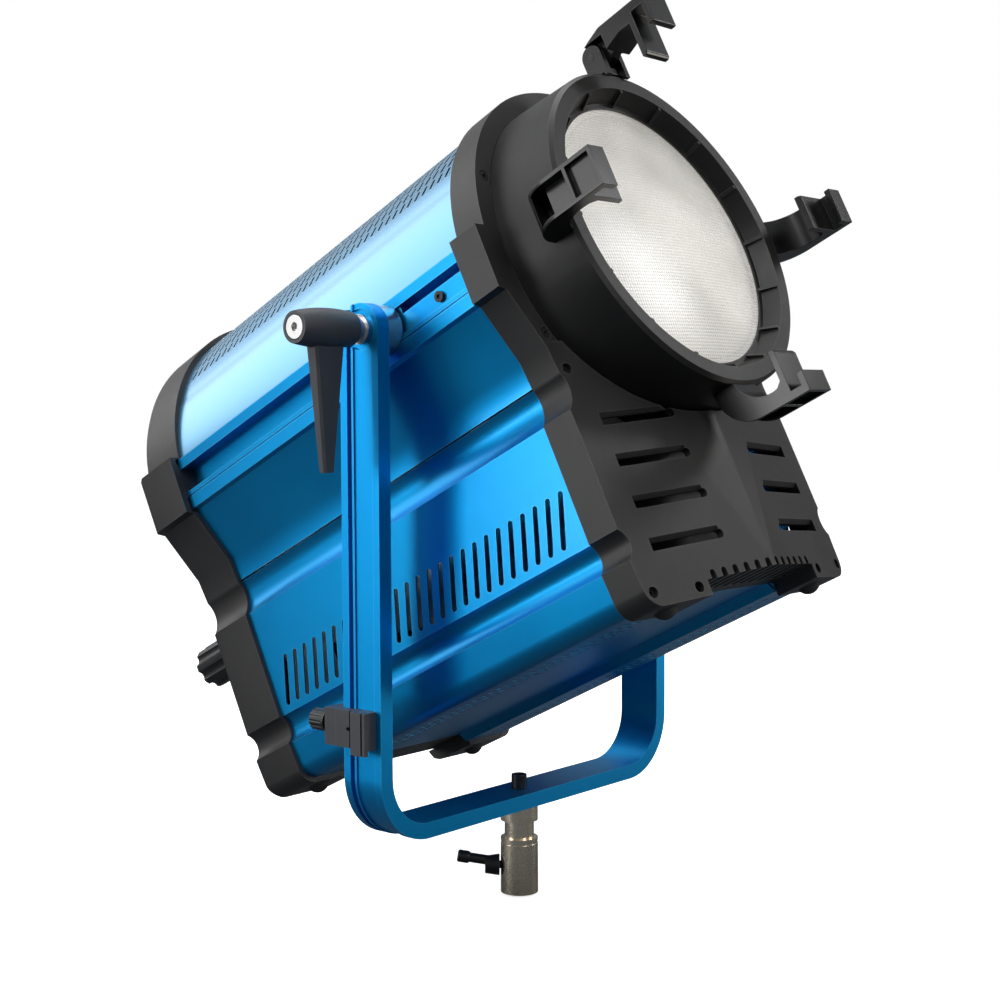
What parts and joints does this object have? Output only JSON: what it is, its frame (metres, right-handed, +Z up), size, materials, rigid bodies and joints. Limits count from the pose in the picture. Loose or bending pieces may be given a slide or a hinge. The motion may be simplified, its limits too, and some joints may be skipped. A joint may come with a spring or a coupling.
{
  "type": "fresnel spotlight",
  "caption": "LED fresnel spotlight: vented blue housing with a large lens and barn-door brackets, tilting in a flat-bar yoke on a stand spigot.",
  "frame": {"origin": "centre of the mouth of the 16 mm socket in the bottom of the stand spigot", "axes": "+Z up along the spigot, the lamp looks along -Y and tilts about X; it is stored tilted up by 26.4 degrees"},
  "size_m": [0.3961, 0.5817, 0.6571],
  "materials": {
    "anodised_blue": "satin blue anodised extrusion and sheet",
    "yoke_blue": "satin blue anodised bar",
    "casting_black": "fine-textured black moulding",
    "barrel_black": "matt black moulding",
    "bracket_black": "semi-gloss black moulding",
    "lens_glass": "moulded glass with a fine stipple",
    "rubber_black": "matt rubber",
    "lever_black": "textured black nylon",
    "knob_black": "semi-gloss black knob",
    "steel": "turned bright steel",
    "nickel": "warm nickel plate over brass",
    "black_steel": "black oxide steel",
    "brass": "turned brass",
    "bright_aluminium": "bright aluminium",
    "panel_black": "black powder coat",
    "display_glass": "dark display window",
    "board_green": "circuit board",
    "fan_black": "moulded fan",
    "switch_red": "red rocker"
  },
  "bodies": {
    "yoke": {"yoke_bar": "yoke_blue", "yoke_bushes": "brass", "stand_spigot": "nickel", "spigot_bolt": "black_steel", "clamp_block": "lever_black", "clamp_jaw": "lever_black"},
    "lock_screw": {"spigot_lock_screw": "knob_black"},
    "clamp_screw": {"clamp_thumb_screw": "knob_black"},
    "lever_stud": {"lever_stud": "steel", "lever_screw": "steel", "lever_spring": "steel"},
    "lever": {"lever_handle": "lever_black"},
    "latch": {"latch_bracket": "bracket_black"},
    "carriage": {"carriage_plate": "bright_aluminium", "carriage_bushes": "brass", "lead_nut": "brass", "led_board": "board_green", "heat_sink": "bright_aluminium", "fan_frame": "fan_black"},
    "fan": {"fan_rotor": "fan_black"},
    "focus": {"lead_screw": "steel", "focus_knob": "knob_black"},
    "intensity": {"intensity_knob": "knob_black"},
    "colour": {"colour_knob": "knob_black"},
    "switch": {"switch_rocker": "switch_red"},
    "head": {"base_panel": "anodised_blue", "casing_screws": "black_steel", "data_sockets": "black_steel", "display_frame": "knob_black", "display_glass": "display_glass", "driver_board": "board_green", "ear_far": "bracket_black", "ear_lower": "bracket_black", "ear_near": "bracket_black", "feet": "rubber_black", "focus_bush": "brass", "fresnel_lens": "lens_glass", "front_bulkhead": "black_steel", "front_casting": "casting_black", "guide_rods": "steel", "latch_pin": "steel", "latch_post": "bracket_black", "latch_springs": "steel", "lens_barrel": "barrel_black", "lens_gasket": "rubber_black", "lens_retainer": "bright_aluminium", "pivot_bolt_far": "steel", "pivot_discs": "steel", "pivot_plates": "steel", "pivot_sliders": "anodised_blue", "power_inlet": "knob_black", "power_supply": "bright_aluminium", "rear_bulkhead": "bright_aluminium", "rear_casting": "casting_black", "rear_panel": "panel_black", "side_panel_far": "anodised_blue", "side_panel_near": "anodised_blue", "side_rails": "anodised_blue", "switch_frame": "knob_black", "top_shell": "anodised_blue"}
  },
  "joints": [
    {"name": "tilt", "type": "hinge", "parent": "yoke", "child": "head", "pos_m": [0, 0, 0.4245], "axis": [-1, 0, 0], "range_deg": [-116, 12]},
    {"name": "lever_turn", "type": "hinge", "parent": "yoke", "child": "lever_stud", "pos_m": [0, 0, 0.4245], "axis": [1, 0, 0], "range_deg": [-60, 120]},
    {"name": "lever_pull", "type": "slide", "parent": "lever_stud", "child": "lever", "axis": [-1, 0, 0], "range_m": [0, 0.0045], "stiffness_N_per_m": 900, "springref_m": -0.004},
    {"name": "lock_screw_turn", "type": "hinge", "parent": "yoke", "child": "lock_screw", "pos_m": [0, 0, 0.0205], "axis": [-0.6428, 0.766, 0], "range_deg": [0, 360]},
    {"name": "clamp_screw_turn", "type": "hinge", "parent": "yoke", "child": "clamp_screw", "pos_m": [-0.1615, 0.03, 0.1515], "axis": [0, 1, 0], "range_deg": [0, 360]},
    {"name": "latch_lift", "type": "hinge", "parent": "head", "child": "latch", "pos_m": [0, -0.08016, 0.61836], "axis": [-1, 0, 0], "range_deg": [0, 34], "stiffness_Nm_per_rad": 0.25, "springref_deg": -34.38},
    {"name": "focus_slide", "type": "slide", "parent": "head", "child": "carriage", "axis": [0, -0.8957, 0.4446], "range_m": [-0.05, 0.05]},
    {"name": "focus_turn", "type": "hinge", "parent": "head", "child": "focus", "pos_m": [-0.0955, 0.23867, 0.16312], "axis": [0, 0.8957, -0.4446], "range_deg": [-930, 930]},
    {"name": "fan_spin", "type": "hinge", "parent": "carriage", "child": "fan", "pos_m": [0, 0.04479, 0.40227], "axis": [0, -0.8957, 0.4446], "continuous": true},
    {"name": "intensity_turn", "type": "hinge", "parent": "head", "child": "intensity", "pos_m": [-0.034, 0.20284, 0.18091], "axis": [0, 0.8957, -0.4446], "continuous": true},
    {"name": "colour_turn", "type": "hinge", "parent": "head", "child": "colour", "pos_m": [0.034, 0.20284, 0.18091], "axis": [0, 0.8957, -0.4446], "continuous": true},
    {"name": "power_switch", "type": "hinge", "parent": "head", "child": "switch", "pos_m": [0.078, 0.17259, 0.1267], "axis": [1, 0, 0], "range_deg": [0, 14]}
  ],
  "couplings": [
    {"joint": "focus_turn", "follows": "focus_slide", "rad_per_m": 314.16}
  ]
}
